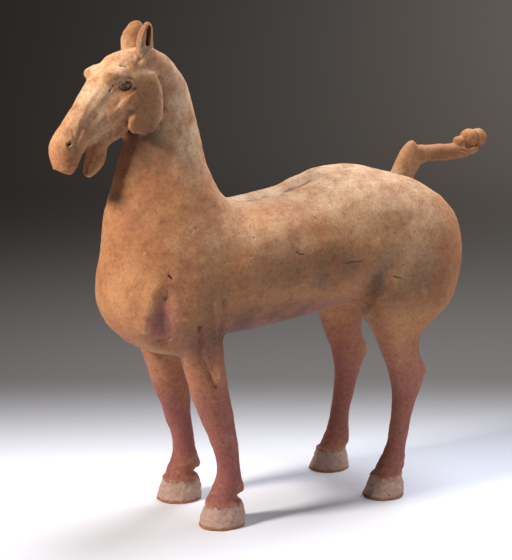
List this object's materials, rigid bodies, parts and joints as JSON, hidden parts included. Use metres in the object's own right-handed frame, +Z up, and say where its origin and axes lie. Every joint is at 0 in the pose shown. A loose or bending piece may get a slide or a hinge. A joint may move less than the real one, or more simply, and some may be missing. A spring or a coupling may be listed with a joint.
{
  "type": "pottery horse figure",
  "caption": "Standing horse of fired red clay, head high and mouth open, ears and raised knotted tail set in sockets.",
  "frame": {"origin": "on the ground, under the middle of the figure's own box", "axes": "+Z up; the horse faces -Y; its left side is +X"},
  "size_m": [0.3546, 1.1227, 1.1],
  "materials": {
    "fired_clay": "unglazed, matt, earth-stained",
    "tail_clay": "unglazed, matt",
    "ear_clay": "unglazed, matt"
  },
  "bodies": {
    "root": {"horse": "fired_clay", "tail": "tail_clay", "ear_left": "ear_clay", "ear_right": "ear_clay"}
  },
  "joints": []
}
